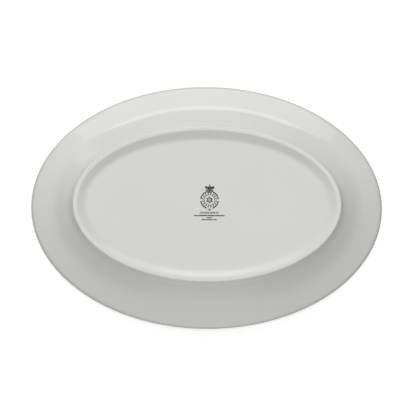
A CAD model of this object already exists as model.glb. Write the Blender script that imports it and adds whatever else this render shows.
"""Looks for the oval china serving platter: glazed bone china, a printed mark, soft studio light.

The platter stands on its foot ring with its eating side up (+Z). The camera is below it and looks up
at the underside, so two one-sided cards make the ground: one under the foot ring for every view from
above, and one against the rim for the view from below. The places of the camera and the softbox and
the strengths of the soft glows were first worked out by fitting programs, as their comments say.
"""
import random
from math import atan2, cos, degrees, pi, radians, sin, tan

import bmesh
import bpy
from mathutils import Matrix, Quaternion, Vector


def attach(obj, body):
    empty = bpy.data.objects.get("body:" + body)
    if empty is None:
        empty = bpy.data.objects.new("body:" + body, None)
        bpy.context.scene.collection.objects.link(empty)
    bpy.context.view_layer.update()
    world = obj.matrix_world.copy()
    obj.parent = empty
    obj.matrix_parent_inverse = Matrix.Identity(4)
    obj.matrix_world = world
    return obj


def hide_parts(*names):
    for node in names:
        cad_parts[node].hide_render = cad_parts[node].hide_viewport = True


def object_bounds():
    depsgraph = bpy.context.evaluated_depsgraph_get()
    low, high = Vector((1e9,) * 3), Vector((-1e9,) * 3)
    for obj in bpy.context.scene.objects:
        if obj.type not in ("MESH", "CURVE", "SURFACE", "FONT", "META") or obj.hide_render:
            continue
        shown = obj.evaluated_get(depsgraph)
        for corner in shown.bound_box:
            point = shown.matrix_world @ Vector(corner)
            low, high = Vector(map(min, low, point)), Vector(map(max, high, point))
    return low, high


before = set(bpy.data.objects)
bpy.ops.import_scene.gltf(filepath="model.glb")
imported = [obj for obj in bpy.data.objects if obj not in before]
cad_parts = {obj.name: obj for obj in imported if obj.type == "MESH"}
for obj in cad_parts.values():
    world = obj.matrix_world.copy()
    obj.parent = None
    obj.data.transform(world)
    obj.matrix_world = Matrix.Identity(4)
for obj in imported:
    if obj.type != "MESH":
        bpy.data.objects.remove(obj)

CAD_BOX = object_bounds()
MM = 0.001

# ------------------------------------------------------------------ the body's section, as in the CAD
LENGTH = CAD_BOX[1].x - CAD_BOX[0].x
WIDTH = CAD_BOX[1].y - CAD_BOX[0].y
HEIGHT = CAD_BOX[1].z
INSET_ACROSS = 1.024        # insets are this much longer across the platter than along it
LIP_THICKNESS = 2.0 * MM
RIM_DEPTH = 2.6 * MM
RIM_EDGE_SLOPE = radians(45)
RIM_WIDTH = 23.3 * MM
RIM_SLOPE = radians(18.4)
RIM_TOP_SLOPE = radians(17.5)
RIM_TOP_WIDTH = 24.4 * MM
FOOT_INSET = 42.4 * MM
FOOT_WIDTH = 3.7 * MM
FOOT_WALL_HEIGHT = 7.3 * MM
FOOT_WALL_SLOPE = radians(62)
FOOT_INNER_RUN = 7.3 * MM
BASE_RECESS = 3.9 * MM
BASE_THICKNESS = 4.1 * MM
WELL_INSET = 46.0 * MM
FLAT_INSET = 60.0 * MM
BASE_ARCH = 0.38            # how much less the base is recessed at its two ends, as a share
FOOT_OUTER_ROUND = 1.6 * MM
FOOT_INNER_ROUND = 4.5 * MM
FOOT_WALL_FILLET = 16.0 * MM
BASE_FILLET = 12.0 * MM
RIM_BEND_UNDER = 40.0 * MM
RIM_EDGE_ROUND = 8.5 * MM
RIM_BEND_TOP = 26.0 * MM
WELL_FILLET = 22.0 * MM
STEPS_AROUND = 360
DEGREES_PER_ARC_STEP = 4
FLAT_RINGS = 6
LONGEST_RUN = 2.0 * MM      # about the longest quad along the section

# ------------------------------------------------------------------ printed mark, seen from below
MARK_X = -2.3 * MM
INK_PROUD = 0.03 * MM
INK_SUNK = 0.02 * MM
FINIAL_Y = 14.65 * MM
ROUNDEL_Y = 3.7 * MM
PENDANT_Y = -5.7 * MM
# middle, width, height, stroke widths and gaps of each printed line, in mm
PRINT_LINES = (
    (-8.4, 17.9, 1.9, (0.36, 0.66), (0.22, 0.38)),
    (-11.1, 29.0, 1.35, (0.60, 1.30), (0.14, 0.22)),
    (-13.0, 4.6, 1.2, (0.50, 1.00), (0.14, 0.20)),
    (-14.9, 14.1, 1.45, (0.40, 0.90), (0.18, 0.34)),
)
STROKE_SHIFT = 0.05            # how far up or down a stroke lies off its line's middle, in mm
SHORTEST_STROKE = 0.8          # as a share of its line's height
FIRST_GROUP = 4                # strokes in a line's first group
LATER_GROUPS = (4, 8)          # fewest and most strokes in each group after it

# ------------------------------------------------------------------ studio light
# Azimuth (from +X towards +Y), angle from straight down, sharpness and strength of each soft glow.
# The directions come from a coarse set. A least-squares program first found the strengths, from the
# shading that the glaze has to show, and they were then changed by hand. They copy no real screens.
GLOWS = (
    (90, 36, 6.0, 1.42),       # down and towards +Y, where the softbox is
    (30, 36, 6.0, 0.28),
    (270, 36, 6.0, 0.28),      # down and towards -Y
    (0, 0, 25.0, 1.20),        # straight down, close to the camera
    (45, 48, 25.0, 0.33),
    (270, 48, 25.0, 0.63),
    (270, 57, 25.0, 0.80),
    (45, 98, 12.0, 0.26),      # just above the horizon
    (90, 98, 12.0, 0.30),
    (135, 98, 12.0, 0.12),
    (270, 98, 12.0, 1.17),
    (0, 180, 6.0, 0.25),       # straight above, for the eating side
)
ALL_AROUND_LIGHT = 0.36        # from everywhere above the horizon
HORIZON_BLUR = 0.15            # height of a direction at which that light is full
# Name, centre (mm), facing, direction of the first side, size (m) and power (W) of each area light.
# A least-squares program found the softbox's place and facing, from the outline of its reflection.
SOFTBOX_FACING = (0.086, -0.177, 0.981)
SOFTBOX_ALONG = (-0.992, -0.112, 0.067)
AREA_LIGHTS = (
    ("softbox", (44, 1475, -984), SOFTBOX_FACING, SOFTBOX_ALONG, (1.80, 0.97), 6.2),
    ("softbox_core", (52, 1675, -942), SOFTBOX_FACING, SOFTBOX_ALONG, (1.70, 0.55), 4.2),
    ("strip", (1012, 1071, -342), (-0.64, -0.72, 0.26), (-0.75, 0.66, 0.0), (0.33, 0.56), 0.42),
    ("top_softbox", (-450, -450, 1500), (0.3, 0.3, -1.0), (1, -1, 0), (1.4, 1.0), 14),
)

# ------------------------------------------------------------------ ground cards
CARD_SIZE = 12.0
RIM_CARD_GAP = 0.2 * MM        # between the lip and the card that it seems to lie on
# a card's glow at its middle, how far out the glow stays even, and where it is full white
FLOOR_GLOW = (0.45, 0.35, 1.5)
RIM_CARD_GLOW = (0.36, 0.19, 0.50)


# ================================================================== geometry helpers
def arc_between(start, end, centre):
    """Points on the shorter arc about centre, from start to end, both included."""
    first = atan2(start.y - centre.y, start.x - centre.x)
    turn = atan2(end.y - centre.y, end.x - centre.x) - first
    turn = (turn + pi) % (2 * pi) - pi
    radius = (start - centre).length
    steps = max(2, round(degrees(abs(turn)) / DEGREES_PER_ARC_STEP))
    angles = (first + turn * step / steps for step in range(steps + 1))
    return [centre + radius * Vector((cos(angle), sin(angle))) for angle in angles]


def rounded_corner(before, corner, after, radius):
    """The arc of the given radius that rounds the corner between two straight runs."""
    back = (before - corner).normalized()
    ahead = (after - corner).normalized()
    half_angle = back.angle(ahead) / 2
    reach = radius / tan(half_angle)
    centre = corner + (back + ahead).normalized() * radius / sin(half_angle)
    return arc_between(corner + back * reach, corner + ahead * reach, centre)


def rounded_line(corners):
    """Straight runs through (inset, height, radius) corners, each inner corner rounded."""
    places = [Vector((inset, height)) for inset, height, _ in corners]
    points = [places[0]]
    for index in range(1, len(corners) - 1):
        points += rounded_corner(*places[index - 1:index + 2], corners[index][2])
    return points + [places[-1]]


def split_long_runs(points, longest):
    """Adds points along straight runs, so that no quad on the body is much longer than the rest."""
    dense = [points[0]]
    for start, end in zip(points, points[1:]):
        pieces = max(1, round((end - start).length / longest))
        dense += [start.lerp(end, piece / pieces) for piece in range(1, pieces + 1)]
    return dense


def platter_section():
    """The body's section as (inset from the edge, height), from the base out round the lip to the well."""
    lip_radius = LIP_THICKNESS / 2
    lip_centre = Vector((lip_radius, HEIGHT - lip_radius))
    lip_under = lip_centre - lip_radius * Vector((sin(RIM_EDGE_SLOPE), cos(RIM_EDGE_SLOPE)))
    lip_over = lip_centre + lip_radius * Vector((sin(RIM_TOP_SLOPE), cos(RIM_TOP_SLOPE)))
    lip_edge = lip_centre - Vector((lip_radius, 0))
    rise = lip_under.y + lip_under.x * tan(RIM_EDGE_SLOPE) - (HEIGHT - RIM_DEPTH)
    turn_inset = rise / (tan(RIM_EDGE_SLOPE) - tan(RIM_SLOPE))
    turn_height = HEIGHT - RIM_DEPTH - turn_inset * tan(RIM_SLOPE)
    bend_under = HEIGHT - RIM_DEPTH - RIM_WIDTH * tan(RIM_SLOPE)
    bend_over = lip_over.y - (RIM_TOP_WIDTH - lip_over.x) * tan(RIM_TOP_SLOPE)
    foot_inner = FOOT_INSET + FOOT_WIDTH
    wall_inset = FOOT_INSET - FOOT_WALL_HEIGHT / tan(FOOT_WALL_SLOPE)
    well_floor = BASE_RECESS + BASE_THICKNESS
    underside = rounded_line((
        (FLAT_INSET, BASE_RECESS, 0),
        (foot_inner + FOOT_INNER_RUN, BASE_RECESS, BASE_FILLET),
        (foot_inner, 0, FOOT_INNER_ROUND),
        (FOOT_INSET, 0, FOOT_OUTER_ROUND),
        (wall_inset, FOOT_WALL_HEIGHT, FOOT_WALL_FILLET),
        (RIM_WIDTH, bend_under, RIM_BEND_UNDER),
        (turn_inset, turn_height, RIM_EDGE_ROUND),
        (*lip_under, 0),
    ))
    eating_side = rounded_line((
        (*lip_over, 0),
        (RIM_TOP_WIDTH, bend_over, RIM_BEND_TOP),
        (WELL_INSET, well_floor, WELL_FILLET),
        (FLAT_INSET, well_floor, 0),
    ))
    lip = arc_between(lip_under, lip_edge, lip_centre)[1:]
    lip += arc_between(lip_edge, lip_over, lip_centre)[1:-1]
    return split_long_runs(underside + lip + eating_side, LONGEST_RUN)


def ring_points(semi_x, semi_y, height):
    turns = (2 * pi * step / STEPS_AROUND for step in range(STEPS_AROUND))
    return [(semi_x * cos(turn), semi_y * sin(turn), height) for turn in turns]


def bridge_rings(bm, inner, outer):
    for step in range(STEPS_AROUND):
        after = (step + 1) % STEPS_AROUND
        bm.faces.new((inner[step], inner[after], outer[after], outer[step]))


def arch_base(rings):
    """Lowers the recessed base towards its two ends, so that it is a shallow arch along the platter."""
    half_foot = LENGTH / 2 - FOOT_INSET - FOOT_WIDTH
    for ring in rings:
        if ring[0].co.x > half_foot + FOOT_WIDTH / 2:
            break
        for vert in ring:
            vert.co.z *= 1 - BASE_ARCH * (vert.co.x / half_foot) ** 2


def build_body():
    """Oval rings that follow the section, closed by flat rings that shrink to the middle on both sides."""
    bm = bmesh.new()
    section = platter_section()
    half_length, half_width = LENGTH / 2, WIDTH / 2
    flat_x, flat_y = half_length - FLAT_INSET, half_width - FLAT_INSET * INSET_ACROSS
    shrunk = [(step + 1) / (FLAT_RINGS + 1) for step in range(FLAT_RINGS)]
    base = [(flat_x * share, flat_y * share, BASE_RECESS) for share in shrunk]
    curved = [(half_length - inset, half_width - inset * INSET_ACROSS, height) for inset, height in section]
    well = [(flat_x * share, flat_y * share, BASE_RECESS + BASE_THICKNESS) for share in reversed(shrunk)]
    rings = [[bm.verts.new(point) for point in ring_points(*ring)] for ring in base + curved + well]
    arch_base(rings)
    for inner, outer in zip(rings, rings[1:]):
        bridge_rings(bm, inner, outer)
    for ring in (rings[0], rings[-1]):
        middle = bm.verts.new((0, 0, ring[0].co.z))
        for step in range(STEPS_AROUND):
            bm.faces.new((ring[step], ring[(step + 1) % STEPS_AROUND], middle))
    bmesh.ops.recalc_face_normals(bm, faces=bm.faces)
    mesh = bpy.data.meshes.new("china_body")
    bm.to_mesh(mesh)
    bm.free()
    mesh.shade_smooth()
    body = bpy.data.objects.new("china_body", mesh)
    bpy.context.scene.collection.objects.link(body)
    return body


# ================================================================== printed mark
def placed(outline, middle, angle, length, bow=0.0):
    """The outline bowed sideways along its length, turned by angle and moved to middle."""
    bowed = [(x, y + bow * (1 - (2 * x / length) ** 2)) for x, y in outline]
    return [(middle[0] + x * cos(angle) - y * sin(angle), middle[1] + x * sin(angle) + y * cos(angle))
            for x, y in bowed]


def leaf_shape(middle, angle, length, width, steps=10):
    """A pointed leaf outline about its middle, its long way at the given angle."""
    edge = [(length * (step / steps - 0.5), width / 2 * sin(pi * step / steps)) for step in range(steps + 1)]
    return placed(edge + [(x, -y) for x, y in reversed(edge[1:-1])], middle, angle, length)


def split_leaf(middle, angle, length, width, vein, bow=0.0):
    """The two halves of a leaf on either side of a pale vein."""
    halves = []
    steps = 10
    vein_end = length / 2 * 0.8
    for side in (1, -1):
        edge = []
        for step in range(1, steps):
            spread = vein / 2 + (width - vein) / 2 * sin(pi * step / steps)
            edge.append((length * (step / steps - 0.5), side * spread))
        spine = [(vein_end, side * vein / 2), (-vein_end, side * vein / 2)]
        halves.append(placed(edge + spine, middle, angle, length, bow))
    return halves


def arc_band(radius, thickness, start, end, steps):
    """A curved band about the middle, as one outline, with square ends."""
    turns = [start + (end - start) * step / steps for step in range(steps + 1)]
    outer, inner = radius + thickness / 2, radius - thickness / 2
    return ([(outer * cos(turn), outer * sin(turn)) for turn in turns]
            + [(inner * cos(turn), inner * sin(turn)) for turn in reversed(turns)])


def block(x, y, width, height):
    return [(x - width / 2, y - height / 2), (x + width / 2, y - height / 2),
            (x + width / 2, y + height / 2), (x - width / 2, y + height / 2)]


def finial_shapes():
    """A sprig: an upright leaf with a bud above it, a leaf on each side, and a tie below."""
    shapes = split_leaf((0, 0.5), radians(90), 5.0, 3.2, 0.16)
    shapes.append(leaf_shape((0, 3.25), radians(90), 1.6, 1.3))
    for side in (1, -1):
        lean = radians(90 - side * 56)
        shapes += split_leaf((side * 2.75, 0.35), lean, 5.6, 2.7, 0.16, side * 0.3)
    shapes.append(block(0, -1.95, 7.0, 0.95))
    shapes.append(block(0, -3.05, 6.2, 0.8))
    shapes.append(block(0, -3.95, 4.4, 0.55))
    return shapes


def roundel_shapes():
    """A broken ring round a wreath of short leaves, with a six-petalled flower in the middle."""
    shapes = []
    for start, end in ((-70, -6), (6, 68), (112, 174), (186, 250)):
        shapes.append(arc_band(8.25, 1.1, radians(start), radians(end), 20))
    leaves = 16
    for number in range(leaves):
        turn = 2 * pi * (number + 0.5) / leaves
        for radius, lean in ((6.6, 40), (5.1, -40)):
            place = (radius * cos(turn), radius * sin(turn))
            shapes.append(leaf_shape(place, turn + pi / 2 + radians(lean), 2.15, 1.0))
    petals = 6
    for number in range(petals):
        turn = 2 * pi * number / petals + pi / 2
        shapes += split_leaf((2.15 * cos(turn), 2.15 * sin(turn)), turn, 2.9, 1.95, 0.25)
    shapes.append(arc_band(0.32, 0.5, 0, radians(359), 16))
    return shapes


def pendant_shapes():
    """A drop with a small leaf on each side."""
    return [leaf_shape((0, 0), radians(90), 2.2, 1.5, steps=8),
            leaf_shape((-1.35, 0.7), radians(35), 1.5, 0.7), leaf_shape((1.35, 0.7), radians(145), 1.5, 0.7)]


def line_shapes(width, height, strokes, gaps, rng):
    """A row of short upright strokes of uneven width, in groups, as a stand-in for small print."""
    shapes, x, left = [], -width / 2, FIRST_GROUP
    while x < width / 2 - strokes[0]:
        stroke = min(rng.uniform(*strokes), width / 2 - x)
        shift = rng.uniform(-STROKE_SHIFT, STROKE_SHIFT)
        tall = height * rng.uniform(SHORTEST_STROKE, 1.0)
        shapes.append(block(x + stroke / 2, shift, stroke, tall))
        x += stroke + rng.uniform(*gaps)
        left -= 1
        if left == 0:
            x += gaps[1]
            left = rng.randint(*LATER_GROUPS)
    return shapes


def build_ink(name, y, shapes):
    """Thin prisms of ink on the recessed base. Shapes are in mm, with x to the right when seen from below."""
    bm = bmesh.new()
    for shape in shapes:
        places = [(MARK_X - px * MM, y + py * MM) for px, py in shape]
        low = [bm.verts.new((px, py, BASE_RECESS - INK_PROUD)) for px, py in places]
        high = [bm.verts.new((px, py, BASE_RECESS + INK_SUNK)) for px, py in places]
        bm.faces.new(low)
        bm.faces.new(list(reversed(high)))
        for here in range(len(places)):
            after = (here + 1) % len(places)
            bm.faces.new((low[after], low[here], high[here], high[after]))
    bmesh.ops.triangulate(bm, faces=[face for face in bm.faces if len(face.verts) > 4])
    bmesh.ops.recalc_face_normals(bm, faces=bm.faces)
    mesh = bpy.data.meshes.new(name)
    bm.to_mesh(mesh)
    bm.free()
    patch = bpy.data.objects.new(name, mesh)
    bpy.context.scene.collection.objects.link(patch)
    return patch


# ================================================================== materials
def new_material(name):
    material = bpy.data.materials.new(name)
    material.use_nodes = True
    tree = material.node_tree
    return material, tree, tree.nodes["Principled BSDF"]


def node(tree, kind, **settings):
    made = tree.nodes.new(kind)
    for key, value in settings.items():
        setattr(made, key, value)
    return made


def noise(tree, place, scale, detail, rough=0.5):
    made = node(tree, "ShaderNodeTexNoise")
    made.inputs["Scale"].default_value = scale
    made.inputs["Detail"].default_value = detail
    made.inputs["Roughness"].default_value = rough
    tree.links.new(place, made.inputs["Vector"])
    return made.outputs["Fac"]


def to_range(tree, value, from_low, from_high, to_low, to_high, smooth=False):
    made = node(tree, "ShaderNodeMapRange")
    if smooth:
        made.interpolation_type = "SMOOTHSTEP"
    limits = {"From Min": from_low, "From Max": from_high, "To Min": to_low, "To Max": to_high}
    for name, number in limits.items():
        made.inputs[name].default_value = number
    tree.links.new(value, made.inputs["Value"])
    return made.outputs["Result"]


def blend(tree, share, first, second):
    """A colour between two others, by share. The first is a colour or the output of a node."""
    made = node(tree, "ShaderNodeMix", data_type="RGBA")
    tree.links.new(share, made.inputs[0])
    if isinstance(first, tuple):
        made.inputs[6].default_value = first
    else:
        tree.links.new(first, made.inputs[6])
    made.inputs[7].default_value = second
    return made.outputs[2]


def multiply(tree, first, second):
    made = node(tree, "ShaderNodeMath", operation="MULTIPLY")
    tree.links.new(first, made.inputs[0])
    tree.links.new(second, made.inputs[1])
    return made.outputs[0]


def glaze_material():
    """Clear glaze on white bone china. It is wiped off the tread of the foot ring."""
    material, tree, shader = new_material("bone_china_glaze")
    place = node(tree, "ShaderNodeTexCoord").outputs["Object"]
    split = node(tree, "ShaderNodeSeparateXYZ")
    tree.links.new(place, split.inputs[0])
    height = split.outputs["Z"]

    # body colour: faint clouds of slightly cooler white, and a few pinhead specks
    clouds = noise(tree, place, 22.0, 3.0)
    colour = blend(tree, to_range(tree, clouds, 0.35, 0.65, 0.0, 1.0, True),
                   (0.812, 0.806, 0.785, 1), (0.800, 0.797, 0.779, 1))
    cells = node(tree, "ShaderNodeTexVoronoi")
    cells.inputs["Scale"].default_value = 75.0
    tree.links.new(place, cells.inputs["Vector"])
    pick = node(tree, "ShaderNodeSeparateColor")
    tree.links.new(cells.outputs["Color"], pick.inputs[0])
    rare = to_range(tree, pick.outputs[0], 0.978, 0.982, 0.0, 1.0)
    core = to_range(tree, cells.outputs["Distance"], 0.008, 0.02, 1.0, 0.0, True)
    colour = blend(tree, multiply(tree, rare, core), colour, (0.45, 0.40, 0.32, 1))

    # the glaze draws thin over the lip, which leaves a fine duller line all round the edge
    oval = node(tree, "ShaderNodeVectorMath", operation="MULTIPLY")
    oval.inputs[1].default_value = (2 / LENGTH, 2 / WIDTH, 0)
    tree.links.new(place, oval.inputs[0])
    out = node(tree, "ShaderNodeVectorMath", operation="LENGTH")
    tree.links.new(oval.outputs["Vector"], out.inputs[0])
    lip = to_range(tree, out.outputs["Value"], 0.980, 1.0, 0.0, 1.0, True)
    colour = blend(tree, lip, colour, (0.66, 0.65, 0.62, 1))

    # the tread of the foot ring: bare fired clay, rubbed a little grey
    rub = noise(tree, place, 420.0, 4.0, 0.7)
    tread = to_range(tree, height, 0.05 * MM, 0.28 * MM, 1.0, 0.0, True)
    worn = multiply(tree, tread, to_range(tree, rub, 0.3, 0.7, 0.55, 1.0))
    colour = blend(tree, worn, colour, (0.88, 0.87, 0.845, 1))
    tree.links.new(colour, shader.inputs["Base Color"])

    # fine table marks on the eating side, which dull the glaze in hair-thin lines
    stretch = node(tree, "ShaderNodeMapping")
    stretch.inputs["Rotation"].default_value = (0, 0, radians(24))
    stretch.inputs["Scale"].default_value = (38.0, 2400.0, 1.0)
    tree.links.new(place, stretch.inputs["Vector"])
    hairs = to_range(tree, noise(tree, stretch.outputs[0], 1.0, 2.0), 0.66, 0.72, 0.0, 1.0, True)
    well_floor = BASE_RECESS + BASE_THICKNESS
    in_well = to_range(tree, height, well_floor - 0.4 * MM, well_floor - 0.1 * MM, 0.0, 1.0)
    low_part = to_range(tree, height, well_floor + 2 * MM, well_floor + 6 * MM, 1.0, 0.0, True)
    marks = multiply(tree, multiply(tree, hairs, in_well), low_part)

    satin = to_range(tree, noise(tree, place, 60.0, 4.0), 0.3, 0.7, 0.025, 0.055)
    dulled = node(tree, "ShaderNodeMath", operation="MULTIPLY_ADD")
    dulled.inputs[1].default_value = 0.10
    tree.links.new(marks, dulled.inputs[0])
    tree.links.new(satin, dulled.inputs[2])
    final = node(tree, "ShaderNodeMix")
    final.inputs[3].default_value = 0.5
    tree.links.new(worn, final.inputs[0])
    tree.links.new(dulled.outputs[0], final.inputs[2])
    tree.links.new(final.outputs[0], shader.inputs["Roughness"])
    shader.inputs["IOR"].default_value = 1.5

    # glaze runs unevenly: long shallow waves, and the grain of the bare tread
    waves = node(tree, "ShaderNodeBump")
    waves.inputs["Strength"].default_value = 1.0
    waves.inputs["Distance"].default_value = 0.00012
    tree.links.new(noise(tree, place, 34.0, 1.0), waves.inputs["Height"])
    ripple = node(tree, "ShaderNodeBump")
    ripple.inputs["Strength"].default_value = 1.0
    ripple.inputs["Distance"].default_value = 0.000008
    tree.links.new(noise(tree, place, 260.0, 2.0), ripple.inputs["Height"])
    tree.links.new(waves.outputs["Normal"], ripple.inputs["Normal"])
    grain = node(tree, "ShaderNodeBump")
    grain.inputs["Distance"].default_value = 0.00003
    tree.links.new(multiply(tree, rub, tread), grain.inputs["Height"])
    tree.links.new(ripple.outputs["Normal"], grain.inputs["Normal"])
    tree.links.new(grain.outputs["Normal"], shader.inputs["Normal"])
    return material


def ink_material():
    """Fired ink: warm dark grey, a little broken up where the print is thin."""
    material, tree, shader = new_material("mark_ink")
    place = node(tree, "ShaderNodeTexCoord").outputs["Object"]
    thin = to_range(tree, noise(tree, place, 900.0, 3.0, 0.6), 0.35, 0.7, 0.0, 1.0, True)
    colour = blend(tree, thin, (0.022, 0.020, 0.016, 1), (0.060, 0.055, 0.046, 1))
    tree.links.new(colour, shader.inputs["Base Color"])
    tree.links.new(to_range(tree, thin, 0.0, 1.0, 0.28, 0.45), shader.inputs["Roughness"])
    shader.inputs["IOR"].default_value = 1.35
    return material


# ================================================================== stage
def one_sided_card(name, height, faces_up, glow, near, far):
    """A ground card that only the camera sees, and only from the side that it faces.

    Its glow lifts the lit paper to pure white, so that only the contact shadow stays visible on it.
    The glow is even as far out as near, and rises to full white at far.
    """
    bpy.ops.mesh.primitive_plane_add(size=CARD_SIZE, location=(0, 0, height))
    card = bpy.context.object
    card.name = name
    if not faces_up:
        card.data.flip_normals()
    material, tree, shader = new_material(name)
    shader.inputs["Base Color"].default_value = (0.9, 0.9, 0.9, 1)
    shader.inputs["Roughness"].default_value = 1.0
    shader.inputs["Specular IOR Level"].default_value = 0.0
    shader.inputs["Emission Color"].default_value = (1, 1, 1, 1)
    out = node(tree, "ShaderNodeVectorMath", operation="LENGTH")
    tree.links.new(node(tree, "ShaderNodeTexCoord").outputs["Object"], out.inputs[0])
    spread = to_range(tree, out.outputs["Value"], near, far, glow, 1.0, True)
    tree.links.new(spread, shader.inputs["Emission Strength"])
    clear = node(tree, "ShaderNodeBsdfTransparent")
    side = node(tree, "ShaderNodeNewGeometry")
    mix = node(tree, "ShaderNodeMixShader")
    output = tree.nodes["Material Output"]
    tree.links.new(side.outputs["Backfacing"], mix.inputs["Fac"])
    tree.links.new(shader.outputs["BSDF"], mix.inputs[1])
    tree.links.new(clear.outputs["BSDF"], mix.inputs[2])
    tree.links.new(mix.outputs["Shader"], output.inputs["Surface"])
    card.data.materials.append(material)
    card.visible_diffuse = False
    card.visible_glossy = False
    card.visible_transmission = False
    card.visible_volume_scatter = False
    card.visible_shadow = False


def add_area_light(name, centre, facing, along, size, power):
    """A rectangular light at centre (mm) that shines along facing, its first side turned towards along."""
    data = bpy.data.lights.new(name, "AREA")
    data.shape = "RECTANGLE"
    data.size, data.size_y = size
    data.energy = power
    light = bpy.data.objects.new(name, data)
    light.location = Vector(centre) * MM
    back = -Vector(facing).normalized()
    side = Vector(along)
    side = (side - side.dot(back) * back).normalized()
    axes = Matrix((side, back.cross(side), back)).transposed()
    light.rotation_mode = "QUATERNION"
    light.rotation_quaternion = axes.to_quaternion()
    light.visible_camera = False
    bpy.context.scene.collection.objects.link(light)


def add_glow(tree, sky, azimuth, from_down, sharpness, strength):
    """A soft round patch of sky light, as the output of its last node."""
    turn, tilt = radians(azimuth), radians(from_down)
    facing = node(tree, "ShaderNodeVectorMath", operation="DOT_PRODUCT")
    facing.inputs[1].default_value = (sin(tilt) * cos(turn), sin(tilt) * sin(turn), -cos(tilt))
    tree.links.new(sky, facing.inputs[0])
    fall = node(tree, "ShaderNodeMath", operation="MULTIPLY_ADD")
    fall.inputs[1].default_value = sharpness
    fall.inputs[2].default_value = -sharpness
    tree.links.new(facing.outputs["Value"], fall.inputs[0])
    curve = node(tree, "ShaderNodeMath", operation="EXPONENT")
    tree.links.new(fall.outputs[0], curve.inputs[0])
    level = node(tree, "ShaderNodeMath", operation="MULTIPLY")
    level.inputs[1].default_value = strength
    tree.links.new(curve.outputs[0], level.inputs[0])
    return level.outputs[0]


def build_world():
    """White for the camera. For the china, a sky of soft glows in place of a studio's walls and screens."""
    world = bpy.data.worlds.new("studio")
    bpy.context.scene.world = world
    world.use_nodes = True
    tree = world.node_tree
    tree.nodes.clear()
    place = node(tree, "ShaderNodeTexCoord")
    unit = node(tree, "ShaderNodeVectorMath", operation="NORMALIZE")
    tree.links.new(place.outputs["Generated"], unit.inputs[0])
    sky = unit.outputs["Vector"]
    height = node(tree, "ShaderNodeSeparateXYZ")
    tree.links.new(sky, height.inputs[0])
    total = to_range(tree, height.outputs["Z"], 0.0, HORIZON_BLUR, 0.0, ALL_AROUND_LIGHT, True)
    for glow in GLOWS:
        add = node(tree, "ShaderNodeMath", operation="ADD")
        tree.links.new(total, add.inputs[0])
        tree.links.new(add_glow(tree, sky, *glow), add.inputs[1])
        total = add.outputs[0]
    seen = node(tree, "ShaderNodeBackground")
    seen.inputs["Color"].default_value = (1, 1, 1, 1)
    lit = node(tree, "ShaderNodeBackground")
    lit.inputs["Color"].default_value = (1, 1, 1, 1)
    tree.links.new(total, lit.inputs["Strength"])
    path = node(tree, "ShaderNodeLightPath")
    mix = node(tree, "ShaderNodeMixShader")
    output = node(tree, "ShaderNodeOutputWorld")
    tree.links.new(path.outputs["Is Camera Ray"], mix.inputs["Fac"])
    tree.links.new(lit.outputs["Background"], mix.inputs[1])
    tree.links.new(seen.outputs["Background"], mix.inputs[2])
    tree.links.new(mix.outputs["Shader"], output.inputs["Surface"])


# ================================================================== camera
def build_camera():
    """Below the platter, a little off straight up, with the platter's -X side on the right.

    A least-squares program found its angles, target and lens, from the outline and the foot ring.
    """
    elevation, azimuth, roll = radians(83.352), radians(4.794), radians(0.433)
    distance = 1.2
    sensor_mm = 36
    lens_share = 3.0346                # focal length over the sensor's width
    target = Vector((-0.984, -2.750, 14.0)) * MM
    towards = Vector((sin(azimuth) * cos(elevation), -cos(azimuth) * cos(elevation), -sin(elevation)))
    data = bpy.data.cameras.new("camera")
    data.sensor_width = sensor_mm
    data.lens = sensor_mm * lens_share
    data.clip_start, data.clip_end = 0.01, 100
    camera = bpy.data.objects.new("camera", data)
    bpy.context.scene.collection.objects.link(camera)
    forward = -towards
    up = Vector((0, 1, 0))
    up = (up - up.dot(forward) * forward).normalized()
    right = forward.cross(up)
    axes = Matrix((right, up, -forward)).transposed()
    camera.rotation_mode = "QUATERNION"
    camera.rotation_quaternion = Quaternion(forward, -roll) @ axes.to_quaternion()
    camera.location = target + towards * distance
    bpy.context.scene.camera = camera


# ================================================================== putting it together
build_camera()
body = build_body()
body.data.materials.append(glaze_material())
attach(body, "root")
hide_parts("platter_body")

rng = random.Random(11)
ink = ink_material()
mark = [("finial", FINIAL_Y, finial_shapes()), ("roundel", ROUNDEL_Y, roundel_shapes()),
        ("pendant", PENDANT_Y, pendant_shapes())]
for number, (middle, width, height, strokes, gaps) in enumerate(PRINT_LINES, start=1):
    mark.append((f"line_{number}", middle * MM, line_shapes(width, height, strokes, gaps, rng)))
for name, y, shapes in mark:
    patch = build_ink(f"mark_{name}", y, shapes)
    patch.data.materials.append(ink)
    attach(patch, "root")
    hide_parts(f"backstamp_{name}")

one_sided_card("floor", CAD_BOX[0].z, True, *FLOOR_GLOW)
one_sided_card("table_under_rim", CAD_BOX[1].z + RIM_CARD_GAP, False, *RIM_CARD_GLOW)
build_world()
for area_light in AREA_LIGHTS:
    add_area_light(*area_light)

scene = bpy.context.scene
scene.view_settings.view_transform = "Standard"
scene.view_settings.look = "None"
